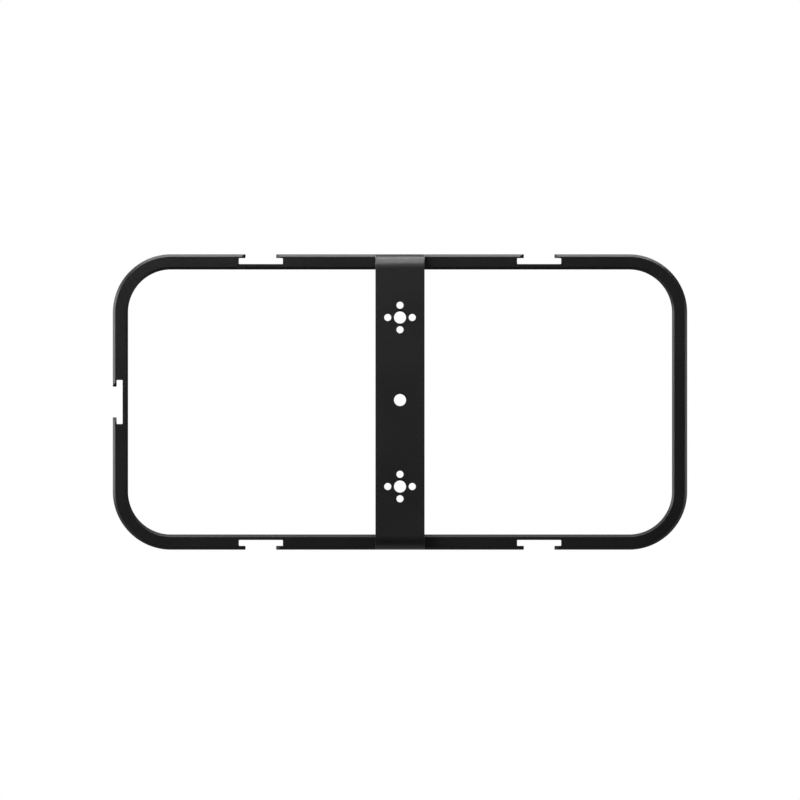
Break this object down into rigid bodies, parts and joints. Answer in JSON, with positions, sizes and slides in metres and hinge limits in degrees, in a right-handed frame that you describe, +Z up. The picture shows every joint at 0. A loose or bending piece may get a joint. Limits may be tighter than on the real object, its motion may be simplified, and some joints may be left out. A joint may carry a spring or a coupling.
{
  "type": "phone cage",
  "caption": "Rounded black metal ring that frames a phone, with accessory shoes through its rails and an upright rear bar carrying tapped holes and locating-pin holes.",
  "frame": {"origin": "middle of the cage's footprint, on the surface that the lower rail stands on", "axes": "+Z up, +X along the cage's width to the right as seen from the back, +Y towards the front, where the phone's screen looks out; the rear bar is on the -Y side"},
  "size_m": [0.244, 0.024, 0.1255],
  "materials": {
    "ring_anodised": "black anodised, fine bead blast, with smoother machined chamfers",
    "bar_anodised": "black anodised, fine bead blast",
    "screw_steel": "black oxide"
  },
  "bodies": {
    "root": {"frame": "ring_anodised", "rear_bar": "bar_anodised", "screw_top_left": "screw_steel", "screw_top_right": "screw_steel", "screw_bottom_left": "screw_steel", "screw_bottom_right": "screw_steel"}
  },
  "joints": []
}
